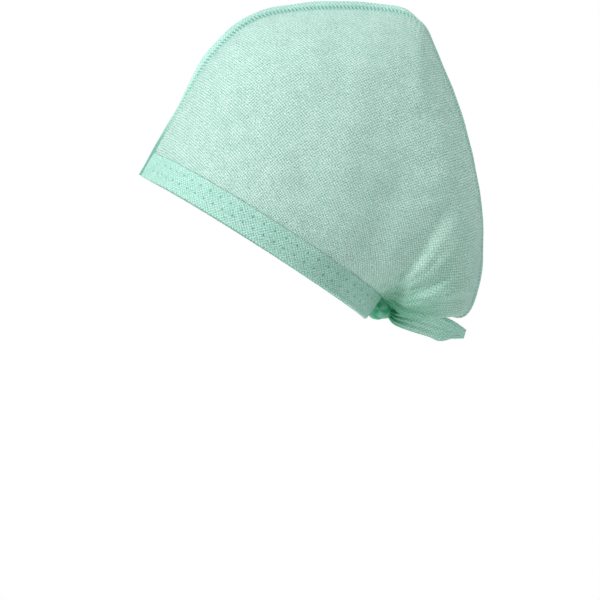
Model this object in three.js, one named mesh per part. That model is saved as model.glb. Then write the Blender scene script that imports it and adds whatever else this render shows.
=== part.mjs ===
// Tie-back scrub cap of thin spunbond nonwoven, standing in its worn shape.
//
// The cap is two panels welded together along one seam that runs from the front over the top
// and down the back. Each panel ends below in a folded hem, the band. The band slopes down
// from front to back, where the two tie tapes are knotted. The fullness of the back is
// gathered into the last stretch of band beside the knot and hangs behind it as a bag.
//
// Millimetres. +Z is up, the front faces -Y and +X is the cap's left. The origin is the
// centre of the opening.
import * as THREE from "three";
import { mergeVertices } from "three/addons/utils/BufferGeometryUtils.js";

// Driving dimensions of the opening
const RIM_LENGTH = 186; // front to back, measured along the sloping rim
const RIM_BREADTH = 152; // over the band, at its broadest
const RIM_DROP = THREE.MathUtils.degToRad(32.6); // slope of the rim down to the back
const RIM_ARCH = 3.5; // how far the rim rises half way along its sides
const BEAK = 7.5; // the front seam stands this far out past the ellipse of the rim

// Band, crown and seam
const BAND_HEIGHT = 18.5;
const BAND_WALL = 2; // folded hem, three plies
const BAND_FLARE = 1.2; // the top of the band leans out this much
const BAND_END_SHARE = 0.972; // the band's ends stop here, beside the knot
const CROWN_WALL = 1.2;
const SEAM_WIDTH = 5.8; // free width of the welded seam allowance
const SEAM_END_WIDTH = 2.4; // where it is drawn into the knot
const SEAM_NARROWS = [12.5, 14]; // rib numbers between which its width falls
const SEAM_WAVER = { degrees: 5, perRib: 1.9 }; // its lean swings to and fro along the seam
const SEAM_STOPS = 15.6; // rib number at which it ends
const SEAM_WALL = 1.6; // two plies
const GAP = 0.3; // between neighbouring pieces

// Ties
const TAPE_WALL = 1.2;
const TAPE_CURL = 0.12; // how far a tape's edges bend back, as a share of half its width
const KNOT = { y: 88, z: -43.2, length: 17, height: 14.2, breadth: 16.2 };
const WRAPS = { count: 3, ridge: 0.11, slant: 1.3 }; // turns of the tape round the knot

// Mesh fineness
const FRONT_STEPS = 3; // stations between two ribs of the table, in front of the gathers
const BACK_STEPS = 6; // and behind
const RIB_STEPS = 14;
const BAND_STEPS = 30;
const KNOT_STEPS = 14;

const X = new THREE.Vector3(1, 0, 0);
const RIM_BACK = new THREE.Vector3(0, Math.cos(RIM_DROP), -Math.sin(RIM_DROP));
const RIM_UP = new THREE.Vector3(0, Math.sin(RIM_DROP), Math.cos(RIM_DROP));

// Ribs of the crown, from the front seam to the knot. Each rib is a cubic curve that leaves
// the seam line at (y, z) and lands on the band.
//   land     where it lands, as a share of the band from the front seam to the back
//   side     how far it first runs out sideways from the seam
//   drop     how far it falls towards its landing over that run
//   spread   how far it stands outside the band before it lands
//   rise     how far above its landing it turns, along the band's height
//   back     how far behind its landing it turns, along the rim
const RIBS = [
  { y: -55, z: 91, land: 0.1, side: 20, drop: 6, spread: 0, rise: 11, back: 0 },
  { y: -29, z: 133, land: 0.22, side: 42, drop: 12, spread: 2, rise: 30, back: 0 },
  { y: 0, z: 158, land: 0.35, side: 57, drop: 14, spread: 4, rise: 56, back: 0 },
  { y: 30, z: 165, land: 0.47, side: 62, drop: 18, spread: 6, rise: 64, back: 2 },
  { y: 70, z: 166.5, land: 0.6, side: 60, drop: 20, spread: 10, rise: 68, back: 8 },
  { y: 105.5, z: 162.5, land: 0.7, side: 50, drop: 24, spread: 20, rise: 62, back: 15 },
  { y: 119, z: 155, land: 0.745, side: 48, drop: 25, spread: 25, rise: 57, back: 20 },
  { y: 126.5, z: 138.5, land: 0.78, side: 49, drop: 22, spread: 30, rise: 50, back: 25 },
  { y: 140.5, z: 103.5, land: 0.83, side: 52, drop: 12, spread: 38, rise: 36, back: 32 },
  { y: 153, z: 60.5, land: 0.87, side: 55, drop: 6, spread: 44, rise: 22, back: 38 },
  { y: 159.5, z: 15, land: 0.905, side: 54, drop: 4, spread: 44, rise: 10, back: 42 },
  { y: 156, z: -27, land: 0.93, side: 48, drop: 2, spread: 38, rise: -2, back: 40 },
  { y: 146.5, z: -47, land: 0.95, side: 36, drop: 0, spread: 27, rise: -8, back: 32 },
  { y: 132, z: -45, land: 0.962, side: 23, drop: 0, spread: 18, rise: -7, back: 22 },
  { y: 117, z: -40.7, land: 0.974, side: 12, drop: 0, spread: 9, rise: -4, back: 11 },
  { y: 97, z: -37.5, land: 0.986, side: 3, drop: 0, spread: 2, rise: 0, back: 2 },
];
const GATHERED_FROM = 8; // the rib behind which the stations are closer

// Lean of the seam allowance towards the cap's right, by rib number: 0 is the top of the
// band's front, -1 its bottom edge
const SEAM_LEAN = [
  { at: -1, degrees: 76 },
  { at: 1.1, degrees: 68 },
  { at: 2.1, degrees: 32 },
  { at: 3, degrees: 8 },
  { at: 5, degrees: 5 },
  { at: 5.7, degrees: 22 },
  { at: 6.7, degrees: 64 },
  { at: 16, degrees: 60 },
];

// Folds of the cloth, each a line in the side view from (y, z) to (toY, toZ). The cloth sinks
// by depth at the start and by toDepth at the end; a depth below zero is a ridge.
const FOLDS = [
  { y: 147, z: 42, toY: 98, toZ: -30, depth: 0.5, toDepth: 5.5, width: 12 },
  { y: 152, z: 5, toY: 104, toZ: -33, depth: -0.2, toDepth: -1.6, width: 6 },
  { y: 152, z: -14, toY: 106, toZ: -37, depth: 0.4, toDepth: 1.8, width: 5 },
  { y: 149, z: -29, toY: 108, toZ: -38, depth: -1, toDepth: -1.6, width: 4 },
  { y: 147, z: -37, toY: 112, toZ: -41, depth: 2.2, toDepth: 1.4, width: 4 },
  { y: 108, z: 60, toY: 84, toZ: -5, depth: 0.3, toDepth: 1.2, width: 9 },
  { y: 21, z: 27, toY: 30, toZ: 22, depth: -1.5, toDepth: -1.5, width: 11 },
];
const FOLD_SHIFT_RIGHT = { y: -4, z: 6 }; // the right side folds a little higher up

// Ties, by stations along their centre line. half is half the width; lean tips the tape's
// upper edge towards the cap's left.
const TIE_LEFT = [
  { x: 2.2, y: 96.7, z: -47.2, half: 3, lean: 0 },
  { x: 3, y: 101, z: -49.5, half: 5.2, lean: 6 },
  { x: 4.5, y: 113, z: -52.2, half: 7.2, lean: 12 },
  { x: 6, y: 125, z: -55.6, half: 7.5, lean: 14 },
  { x: 7, y: 131.5, z: -57.8, half: 7.8, lean: 10 },
  { x: 7.5, y: 138.5, z: -59, half: 5, lean: 4 },
  { x: 7.8, y: 144.5, z: -60.8, half: 2.2, lean: 0 },
];
const TIE_RIGHT = [
  { x: -2.6, y: 96.7, z: -45.6, half: 3, lean: 0 },
  { x: -5, y: 104, z: -48, half: 4.4, lean: -10 },
  { x: -8, y: 116, z: -50.3, half: 5.7, lean: -14 },
  { x: -9, y: 127, z: -53, half: 6.4, lean: -12 },
  { x: -8.5, y: 138, z: -57.5, half: 6.5, lean: -6 },
  { x: -8, y: 148.5, z: -60.6, half: 3.2, lean: 0 },
];
const TIE_STEPS = 4; // between two stations
const TIE_ACROSS = [-1, -0.5, 0, 0.5, 1];

// A smooth curve through one column of a table, read at a share of the whole
function columnCurve(rows, name) {
  return new THREE.SplineCurve(rows.map((row, i) => new THREE.Vector2(i, row[name])));
}

// Value between the rows of a table whose column "at" gives their place
function between(rows, at, name) {
  const next = Math.max(1, rows.findIndex((row) => row.at >= at));
  const [a, b] = [rows[next - 1], rows[next]];
  return THREE.MathUtils.lerp(a[name], b[name], THREE.MathUtils.smoothstep(at, a.at, b.at));
}

// Closed mesh between two grids of points of the same size, the outer face and the inner face
function wallBetween(outer, inner) {
  const rows = outer.length;
  const columns = outer[0].length;
  const position = [...outer.flat(), ...inner.flat()].flatMap((p) => [p.x, p.y, p.z]);
  const at = (i, j, face) => face * rows * columns + i * columns + j;
  const last = columns - 1;
  const index = [];
  const quad = (a, b, c, d) => index.push(a, b, c, a, c, d);
  for (let i = 0; i < rows - 1; i++) {
    for (let j = 0; j < last; j++) {
      quad(at(i, j, 0), at(i, j + 1, 0), at(i + 1, j + 1, 0), at(i + 1, j, 0));
      quad(at(i, j, 1), at(i + 1, j, 1), at(i + 1, j + 1, 1), at(i, j + 1, 1));
    }
    quad(at(i, 0, 0), at(i + 1, 0, 0), at(i + 1, 0, 1), at(i, 0, 1));
    quad(at(i + 1, last, 0), at(i, last, 0), at(i, last, 1), at(i + 1, last, 1));
  }
  for (let j = 0; j < last; j++) {
    quad(at(0, j + 1, 0), at(0, j, 0), at(0, j, 1), at(0, j + 1, 1));
    quad(at(rows - 1, j, 0), at(rows - 1, j + 1, 0), at(rows - 1, j + 1, 1), at(rows - 1, j, 1));
  }
  return closedGeometry(position, index);
}

// Merged geometry without the triangles that a shared corner has flattened
function closedGeometry(position, index) {
  const loose = new THREE.BufferGeometry();
  loose.setAttribute("position", new THREE.Float32BufferAttribute(position, 3));
  loose.setIndex(Array.from(index));
  const merged = mergeVertices(loose, 1e-3);
  const corners = merged.index.array;
  const kept = [];
  for (let i = 0; i < corners.length; i += 3) {
    const [a, b, c] = corners.slice(i, i + 3);
    if (a !== b && b !== c && a !== c) kept.push(a, b, c);
  }
  merged.setIndex(kept);
  merged.computeVertexNormals();
  return merged;
}

// The same geometry on the cap's other side
function mirrored(geometry) {
  const copy = geometry.clone().scale(-1, 1, 1);
  const corners = Array.from(copy.index.array);
  for (let i = 0; i < corners.length; i += 3) {
    [corners[i + 1], corners[i + 2]] = [corners[i + 2], corners[i + 1]];
  }
  copy.setIndex(corners);
  copy.computeVertexNormals();
  return copy;
}

// One half of the rim seen square on: a straight run from the beak to where it touches the
// ellipse, then the ellipse to the back. x is sideways, y runs back from the beak.
function rimOutline() {
  const halfLength = (RIM_LENGTH - BEAK) / 2;
  const centre = BEAK + halfLength;
  const touch = -Math.asin(halfLength / centre);
  const halfBreadth = RIM_BREADTH / 2;
  const path = new THREE.Path();
  path.moveTo(0, 0);
  path.lineTo(halfBreadth * Math.cos(touch), centre + halfLength * Math.sin(touch));
  path.absellipse(0, centre, halfBreadth, halfLength, touch, Math.PI / 2, false, 0);
  return path;
}
const RIM = rimOutline();

// Sideways-and-back direction that points out of the rim
function rimOutward(share) {
  const along = RIM.getTangentAt(share);
  return X.clone().multiplyScalar(along.y).addScaledVector(RIM_BACK, -along.x);
}

// Point on the outer face of the band
function bandPoint(share, height) {
  const flat = RIM.getPointAt(share);
  return X.clone()
    .multiplyScalar(flat.x)
    .addScaledVector(RIM_BACK, flat.y - RIM_LENGTH / 2)
    .addScaledVector(RIM_UP, height + RIM_ARCH * Math.sin(Math.PI * share))
    .addScaledVector(rimOutward(share), (BAND_FLARE * height) / BAND_HEIGHT);
}

// Half of the folded hem, from the front seam to beside the knot
function bandGeometry() {
  const outer = [];
  const inner = [];
  for (let i = 0; i <= BAND_STEPS; i++) {
    const share = (BAND_END_SHARE * i) / BAND_STEPS;
    const faces = [BAND_HEIGHT, 0].map((height) => bandPoint(share, height));
    const inward = rimOutward(share).multiplyScalar(-BAND_WALL);
    outer.push(faces);
    inner.push(faces.map((p) => p.clone().add(inward)));
  }
  for (const p of [...outer[0], ...inner[0]]) p.x = GAP / 2;
  return wallBetween(outer, inner);
}

// Line of the seam weld, from the top of the band's front over the crown to the knot
function seamLine() {
  const front = bandPoint(0, BAND_HEIGHT + GAP);
  const points = [front, ...RIBS.map((rib) => new THREE.Vector3(0, rib.y, rib.z))];
  return new THREE.CatmullRomCurve3(points, false, "centripetal");
}
const SEAM = seamLine();
const FRONT_RIB = { land: 0, side: 0, drop: 0, spread: 0, rise: 0, back: 0 };
const RIB_TABLE = [FRONT_RIB, ...RIBS];
const RIB_NAMES = Object.keys(FRONT_RIB);
const RIB_CURVES = Object.fromEntries(RIB_NAMES.map((name) => [name, columnCurve(RIB_TABLE, name)]));

// The rib at t, from 0 at the front to 1 at the knot, as its cubic curve
function ribAt(t) {
  const value = (name) => RIB_CURVES[name].getPoint(t).y;
  const start = SEAM.getPoint(t);
  const end = bandPoint(THREE.MathUtils.clamp(value("land"), 0, 1), BAND_HEIGHT + GAP);
  const down = end.clone().sub(start).setX(0).normalize();
  start.x = GAP / 2;
  end.x = Math.max(end.x, GAP / 2);
  const first = start.clone().addScaledVector(X, value("side")).addScaledVector(down, value("drop"));
  const second = end
    .clone()
    .addScaledVector(X, value("spread"))
    .addScaledVector(RIM_UP, value("rise"))
    .addScaledVector(RIM_BACK, value("back"));
  return new THREE.CubicBezierCurve3(start, first, second, end);
}

// Shares along the seam at which the panel is meshed
function stations() {
  const spans = RIB_TABLE.length - 1;
  const found = [0];
  for (let span = 0; span < spans; span++) {
    const steps = span < GATHERED_FROM ? FRONT_STEPS : BACK_STEPS;
    for (let step = 1; step <= steps; step++) found.push((span + step / steps) / spans);
  }
  return found;
}

// Direction out of the panel at (t, v), from its neighbours on the rib and beside it
function panelNormal(t, v) {
  const small = 2e-3;
  const tMiddle = THREE.MathUtils.clamp(t, 2 * small, 1 - 2 * small);
  const vMiddle = THREE.MathUtils.clamp(v, small, 1 - small);
  const point = (dt, dv) => ribAt(tMiddle + dt).getPoint(vMiddle + dv);
  const alongSeam = point(small, 0).sub(point(-small, 0));
  const alongRib = point(0, small).sub(point(0, -small));
  return alongRib.cross(alongSeam).normalize();
}

// How far the folds raise the cloth at a point seen from the side
function foldHeight(point, v, shift) {
  const seen = new THREE.Vector3(0, point.y - shift.y, point.z - shift.z);
  const { smoothstep, lerp } = THREE.MathUtils;
  let height = 0;
  for (const fold of FOLDS) {
    const from = new THREE.Vector3(0, fold.y, fold.z);
    const line = new THREE.Line3(from, new THREE.Vector3(0, fold.toY, fold.toZ));
    const share = line.closestPointToPointParameter(seen, true);
    const away = seen.distanceTo(line.at(share, new THREE.Vector3())) / fold.width;
    height -= lerp(fold.depth, fold.toDepth, share) * Math.exp(-away * away);
  }
  return height * smoothstep(v, 0.02, 0.22) * (1 - smoothstep(v, 0.9, 1));
}

// Half of the crown as a wall, its outer face on the ribs
function panelGeometry(shift) {
  const outer = [];
  const inner = [];
  for (const t of stations()) {
    const rib = ribAt(t);
    const outerRow = [];
    const innerRow = [];
    for (let j = 0; j <= RIB_STEPS; j++) {
      const v = j / RIB_STEPS;
      const normal = panelNormal(t, v);
      const point = rib.getPoint(v);
      point.addScaledVector(normal, foldHeight(point, v, shift));
      const behind = point.clone().addScaledVector(normal, -CROWN_WALL);
      point.x = Math.max(point.x, GAP / 2);
      behind.x = Math.max(behind.x, GAP / 2);
      outerRow.push(point);
      innerRow.push(behind);
    }
    outer.push(outerRow);
    inner.push(innerRow);
  }
  return wallBetween(outer, inner);
}

// The welded seam allowance: it stands on the seam line and leans to one side
function seamGeometry() {
  const hem = [-1, -0.5].map((at) => [at, bandPoint(0, BAND_HEIGHT * (1 + at)), RIM_UP]);
  const spans = RIB_TABLE.length - 1;
  const crown = stations().map((t) => [t * spans, SEAM.getPoint(t), SEAM.getTangent(t)]);
  const outer = [];
  const inner = [];
  for (const [at, weld, along] of [...hem, ...crown].filter(([at]) => at < SEAM_STOPS)) {
    const out = new THREE.Vector3(0, -along.z, along.y).normalize();
    const waver = SEAM_WAVER.degrees * Math.sin(SEAM_WAVER.perRib * at);
    const lean = THREE.MathUtils.degToRad(between(SEAM_LEAN, at, "degrees") + waver);
    const half = SEAM_WALL / 2;
    const across = X.clone().multiplyScalar(half * Math.cos(lean));
    across.addScaledVector(out, half * Math.sin(lean));
    const reach = out.clone().multiplyScalar(Math.cos(lean)).addScaledVector(X, -Math.sin(lean));
    const base = weld.clone().setX(0).addScaledVector(out, GAP + half * Math.sin(lean));
    const drawnIn = THREE.MathUtils.smoothstep(at, ...SEAM_NARROWS);
    const width = THREE.MathUtils.lerp(SEAM_WIDTH, SEAM_END_WIDTH, drawnIn);
    const column = [0, 0.5, 1].map((part) => base.clone().addScaledVector(reach, part * width));
    outer.push(column.map((p) => p.clone().add(across)));
    inner.push(column.map((p) => p.clone().sub(across)));
  }
  return wallBetween(inner, outer);
}

// The knot: an oval lump with the wraps of the tape as ridges running round it
function knotGeometry() {
  const ball = new THREE.SphereGeometry(1, 2 * KNOT_STEPS, KNOT_STEPS);
  ball.deleteAttribute("uv").deleteAttribute("normal");
  const points = ball.attributes.position;
  const p = new THREE.Vector3();
  for (let i = 0; i < points.count; i++) {
    p.fromBufferAttribute(points, i);
    const round = Math.atan2(p.z, p.y) + WRAPS.slant * p.x;
    p.multiplyScalar(1 + WRAPS.ridge * Math.cos(WRAPS.count * round) * (1 - p.x * p.x));
    points.setXYZ(i, (p.x * KNOT.breadth) / 2, (p.y * KNOT.length) / 2, (p.z * KNOT.height) / 2);
  }
  const lump = closedGeometry(points.array, ball.index.array);
  return lump.rotateX(-RIM_DROP / 2).translate(0, KNOT.y, KNOT.z);
}

// A tie tape through its stations
function tieGeometry(rows) {
  const count = (rows.length - 1) * TIE_STEPS;
  const curves = Object.fromEntries(Object.keys(rows[0]).map((name) => [name, columnCurve(rows, name)]));
  const centre = (t) => new THREE.Vector3(...["x", "y", "z"].map((name) => curves[name].getPoint(t).y));
  const outer = [];
  const inner = [];
  for (let i = 0; i <= count; i++) {
    const t = i / count;
    const along = centre(Math.min(t + 0.01, 1)).sub(centre(Math.max(t - 0.01, 0))).normalize();
    const lean = THREE.MathUtils.degToRad(curves.lean.getPoint(t).y);
    const upright = new THREE.Vector3(Math.sin(lean), 0, Math.cos(lean));
    const face = along.clone().cross(upright).normalize();
    const up = face.clone().cross(along).normalize();
    const half = curves.half.getPoint(t).y;
    const line = TIE_ACROSS.map((part) =>
      centre(t).addScaledVector(up, part * half).addScaledVector(face, TAPE_CURL * half * part * part),
    );
    outer.push(line.map((p) => p.clone().addScaledVector(face, -TAPE_WALL / 2)));
    inner.push(line.map((p) => p.clone().addScaledVector(face, TAPE_WALL / 2)));
  }
  return wallBetween(outer, inner);
}

const cap = new THREE.Group();
const nonwoven = new THREE.MeshStandardMaterial({ color: 0xa6d8c4, roughness: 0.9, metalness: 0 });
const folded = new THREE.MeshStandardMaterial({ color: 0x8fd0b8, roughness: 0.9, metalness: 0 });

function addPiece(name, geometry, material) {
  const piece = new THREE.Mesh(geometry, material);
  piece.name = name;
  cap.add(piece);
}

addPiece("crown_left", panelGeometry({ y: 0, z: 0 }), nonwoven);
addPiece("crown_right", mirrored(panelGeometry(FOLD_SHIFT_RIGHT)), nonwoven);
const band = bandGeometry();
addPiece("band_left", band, folded);
addPiece("band_right", mirrored(band), folded);
addPiece("centre_seam", seamGeometry(), folded);
addPiece("tie_knot", knotGeometry(), folded);
addPiece("tie_left", tieGeometry(TIE_LEFT), folded);
addPiece("tie_right", tieGeometry(TIE_RIGHT), folded);

export default cap;
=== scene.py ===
# %% [markdown]
# # A tie-back scrub cap
#
# This lesson dresses a plain solid model of a disposable scrub cap as the thin green cloth
# that the real one is made of. The cap is two panels of spunbond nonwoven welded along one
# seam, a folded hem that runs round the rim, and two tapes knotted behind it. Each piece is a
# surface worked out with numpy in millimetres, and each finish is a small set of nodes.
#
# The solid model was made first. It could be given a finer surface by sculpting, but then
# nothing would tie the cloth to its sizes. So every piece here is worked out from the same
# tables as its solid, hides it, and says which one it stands for.

import bmesh
import bpy
import numpy as np
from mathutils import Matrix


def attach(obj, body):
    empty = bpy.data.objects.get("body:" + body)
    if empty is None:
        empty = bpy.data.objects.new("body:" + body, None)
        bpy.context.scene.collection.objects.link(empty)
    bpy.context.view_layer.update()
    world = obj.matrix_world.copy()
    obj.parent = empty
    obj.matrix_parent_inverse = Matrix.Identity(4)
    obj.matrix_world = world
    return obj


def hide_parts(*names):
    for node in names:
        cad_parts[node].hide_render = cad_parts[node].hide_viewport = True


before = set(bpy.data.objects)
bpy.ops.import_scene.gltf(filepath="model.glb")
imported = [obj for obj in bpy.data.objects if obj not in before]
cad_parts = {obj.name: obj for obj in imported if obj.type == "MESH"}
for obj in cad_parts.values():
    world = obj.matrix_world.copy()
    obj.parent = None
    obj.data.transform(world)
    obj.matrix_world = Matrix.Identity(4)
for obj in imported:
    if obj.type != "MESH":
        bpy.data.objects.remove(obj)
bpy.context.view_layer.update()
print("solid pieces:", sorted(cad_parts))

# %% [markdown]
# ## The camera
#
# The photograph looks at the left side of the cap, level with its lower part. One pixel of
# its 600 is 0.70 mm in the middle plane of the cap. The camera could be turned by eye until
# the picture fits. Here it stands far out on the +X side and looks along -X, and its lens is
# worked out to make 600 pixels span 420 mm at the middle plane.

# %% Camera
MM = 0.001
PHOTO_PIXELS = 600
MM_PER_PIXEL = 0.70
PHOTO_CENTRE = (32.55, -36.75)  # y and z in the middle plane, mm
CAMERA_AWAY = 2400  # mm
SENSOR = 36  # mm
FARTHEST_SEEN = 50  # m

camera_data = bpy.data.cameras.new("photo_camera")
camera_data.sensor_width = SENSOR
camera_data.lens = SENSOR * CAMERA_AWAY / (PHOTO_PIXELS * MM_PER_PIXEL)
camera_data.clip_end = FARTHEST_SEEN
camera = bpy.data.objects.new("photo_camera", camera_data)
camera.location = (CAMERA_AWAY * MM, PHOTO_CENTRE[0] * MM, PHOTO_CENTRE[1] * MM)
camera.rotation_euler = (np.pi / 2, 0, np.pi / 2)
bpy.context.collection.objects.link(camera)
bpy.context.scene.camera = camera
print("lens", round(camera_data.lens, 1), "mm")

# %% [markdown]
# ## Smooth curves through tables
#
# The solid model draws its ribs through short tables with Catmull-Rom curves. The cloth has to
# lie on the same ribs, so the same two curves are needed here: one that gives every row the
# same stretch of the parameter, and one whose stretches follow the distance between the points.
# Blender has curve objects, but a formula gives all the points of a grid at once as an array.


# %% Curves
def through_rows(values, share):
    """Catmull-Rom curve with equal stretches: between rows 1 and 2 it is the cubic that leaves
    and arrives with half the difference of the rows on either side."""
    values = np.asarray(values, float)
    last = len(values) - 1
    place = np.clip(share, 0, 1) * last
    row = np.minimum(place.astype(int), last - 1)
    w = place - row
    a, b = values[np.maximum(row - 1, 0)], values[row]
    c, d = values[row + 1], values[np.minimum(row + 2, last)]
    leave, arrive = (c - a) / 2, (d - b) / 2
    cubic = 2 * b - 2 * c + leave + arrive
    square = -3 * b + 3 * c - 2 * leave - arrive
    return ((cubic * w + square) * w + leave) * w + b


def through_points(points, share):
    """Centripetal Catmull-Rom curve: as above, with the slopes at each point weighted by the
    square root of the distances to its neighbours."""
    points = np.asarray(points, float)
    last = len(points) - 1
    padded = np.vstack([2 * points[0] - points[1], points, 2 * points[-1] - points[-2]])
    step = np.sqrt(np.linalg.norm(np.diff(padded, axis=0), axis=1))
    place = np.clip(share, 0, 1) * last
    row = np.minimum(place.astype(int), last - 1)
    w = (place - row)[..., None]
    a, b, c, d = (padded[row + k] for k in range(4))
    before, here, after = (step[row + k][..., None] for k in range(3))
    leave = ((b - a) / before - (c - a) / (before + here) + (c - b) / here) * here
    arrive = ((c - b) / here - (d - b) / (here + after) + (d - c) / after) * here
    cubic = 2 * b - 2 * c + leave + arrive
    square = -3 * b + 3 * c - 2 * leave - arrive
    return ((cubic * w + square) * w + leave) * w + b


def smooth(value, low, high):
    """0 below low, 1 above high, and an S-shaped rise between them."""
    x = np.clip((np.asarray(value, float) - low) / (high - low), 0, 1)
    return x * x * (3 - 2 * x)


# %% [markdown]
# ## From a grid of points to a mesh
#
# Every piece of cloth here is a grid of points. It could be a subdivided plane that is pushed
# about, but a grid worked out as one array is quicker and exact. The helper turns the grid
# into faces all at once and gives the mesh a UV map in real millimetres of cloth. It can also
# store one number at each point, called weld. The material reads it as the place of a weld, or
# of plies that lie over each other, since both are denser and greener than a single ply. On the
# back of the crown, on the tapes by the knot and on the knot itself it is also painted shade.


# %% Grid to mesh
def unit(vectors):
    """Each vector divided by its own length."""
    return vectors / np.maximum(np.linalg.norm(vectors, axis=-1, keepdims=True), 1e-9)


def cloth_lengths(points):
    """Lengths along rows and columns of the grid in mm: the running sum of the steps, each
    averaged over the whole of the other direction, so that a pattern keeps its size."""
    along = np.linalg.norm(np.diff(points, axis=0), axis=2)
    across = np.linalg.norm(np.diff(points, axis=1), axis=2)
    u = np.concatenate([[0], np.cumsum(along.mean(axis=1))])
    v = np.concatenate([[0], np.cumsum(across.mean(axis=0))])
    return np.stack(np.meshgrid(u, v, indexing="ij"), axis=-1)


def corner_points(mesh):
    """For each corner of each face, the number of its point."""
    corners = np.empty(len(mesh.loops), dtype=np.int32)
    mesh.loops.foreach_get("vertex_index", corners)
    return corners


def sheet_from_grid(name, points, uv=None, weld=None, flip=False, closed=False):
    """Quads between neighbouring points of the grid; a closed grid also joins its last column
    to its first. Points are in mm."""
    rows, columns = points.shape[:2]
    number = np.arange(rows * columns).reshape(rows, columns)
    if closed:
        number = np.hstack([number, number[:, :1]])
    a, b = number[:-1, :-1], number[1:, :-1]
    c, d = number[1:, 1:], number[:-1, 1:]
    faces = np.stack([a, d, c, b] if flip else [a, b, c, d], axis=-1).reshape(-1, 4)
    mesh = bpy.data.meshes.new(name)
    mesh.from_pydata((points * MM).reshape(-1, 3), [], faces)
    uv = cloth_lengths(points) if uv is None else uv
    layer = mesh.uv_layers.new(name="cloth_mm")
    at_corners = uv.reshape(-1, 2)[corner_points(mesh)]
    layer.data.foreach_set("uv", at_corners.astype(np.float32).ravel())
    if weld is not None:
        # on the crown, the tapes and the knot this number is partly painted shade
        mark = mesh.attributes.new("weld", "FLOAT", "POINT")
        mark.data.foreach_set("value", weld.astype(np.float32).ravel())
    mesh.polygons.foreach_set("use_smooth", np.ones(len(mesh.polygons), dtype=bool))
    mesh.update()
    piece = bpy.data.objects.new(name, mesh)
    bpy.context.collection.objects.link(piece)
    return piece


def give_thickness(piece, millimetres, offset=-1.0):
    """A Solidify modifier makes the sheet a thin closed wall: a copy of it moved along its
    normals, and a strip round the edge that joins the two."""
    wall = piece.modifiers.new("ply", "SOLIDIFY")
    wall.thickness = millimetres * MM
    wall.offset = offset
    wall.use_even_offset = False


def cloth_area(piece):
    """Area of the sheet itself, in square metres, before it gets its thickness."""
    areas = np.empty(len(piece.data.polygons), dtype=np.float32)
    piece.data.polygons.foreach_get("area", areas)
    return float(areas.sum())


# %% [markdown]
# ## The rim
#
# The hem of a worn cap is an oval that comes to a soft point in front, because the two panels
# are welded there and the seam stands out. It could be drawn by hand as a closed curve. Here
# half of it, seen square on, is a straight run from the point to where it touches an ellipse,
# then the ellipse, as in the solid model. The whole rim slopes down to the back by 32.6
# degrees, and the other half is its mirror image.

# %% Rim
RIM_LENGTH, RIM_BREADTH = 186, 152
RIM_DROP = np.radians(32.6)
RIM_ARCH = 3.5  # how far the rim rises half way along its sides
BEAK = 7.5  # how far the front point stands out past the ellipse
BAND_HEIGHT = 18.5
BAND_FLARE = 1.2  # the top of the band leans out by this
GAP = 0.3  # between neighbouring pieces

SIDE = np.array([1.0, 0, 0])
RIM_BACK = np.array([0, np.cos(RIM_DROP), -np.sin(RIM_DROP)])
RIM_UP = np.array([0, np.sin(RIM_DROP), np.cos(RIM_DROP)])


def rim_samples(count=6000):
    """Dense points on half the rim, straight run and then ellipse, with the length run so
    far: the running sum of the steps between them."""
    half_length = (RIM_LENGTH - BEAK) / 2
    centre = BEAK + half_length
    touch = -np.arcsin(half_length / centre)
    angle = np.linspace(touch, np.pi / 2, count)
    sideways, backwards = RIM_BREADTH / 2 * np.cos(angle), centre + half_length * np.sin(angle)
    oval = np.stack([sideways, backwards], axis=1)
    straight = np.linspace([0, 0], oval[0], count, endpoint=False)
    points = np.vstack([straight, oval])
    run = np.concatenate([[0], np.cumsum(np.linalg.norm(np.diff(points, axis=0), axis=1))])
    return points, run


RIM_POINTS, RIM_RUN = rim_samples()
RIM_SLOPES = np.gradient(RIM_POINTS, axis=0)
RIM_SLOPES /= np.linalg.norm(RIM_SLOPES, axis=1, keepdims=True)
HALF_RIM = float(RIM_RUN[-1])
print("half the rim is", round(HALF_RIM, 1), "mm, so the girth is", round(2 * HALF_RIM), "mm")


def on_rim(samples, share):
    """The samples read at a share of half the rim's length, on the straight line between the
    two nearest ones."""
    distance = np.clip(share, 0, 1) * HALF_RIM
    return np.stack([np.interp(distance, RIM_RUN, samples[:, k]) for k in range(2)], axis=-1)


def rim_outward(share):
    """Direction square to the rim and out of it, in the plane of the rim."""
    slope = on_rim(RIM_SLOPES, share)
    return slope[..., 1:] * SIDE - slope[..., :1] * RIM_BACK


def band_point(share, height):
    """Point on the outside of the band: the oval, plus the height up the band and the arch of
    the rim, plus the flare outwards."""
    share, height = np.broadcast_arrays(np.asarray(share, float), np.asarray(height, float))
    flat = on_rim(RIM_POINTS, share)
    rise = height + RIM_ARCH * np.sin(np.pi * share)
    return (
        flat[..., :1] * SIDE
        + (flat[..., 1:] - RIM_LENGTH / 2) * RIM_BACK
        + rise[..., None] * RIM_UP
        + (BAND_FLARE * height / BAND_HEIGHT)[..., None] * rim_outward(share)
    )


# %% [markdown]
# ## The crown
#
# Each panel was a flat piece of cloth. Worn, it hangs between the seam line on top and the
# band. A cloth simulation could drape it, but the result has to keep the form of the solid
# model. So it is drawn as ribs: each rib leaves the seam sideways, turns over the side and
# lands on the band. The table holds the same ribs as the solid model, in the same columns, and
# the cloth between two ribs follows from the curve through the table.

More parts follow.
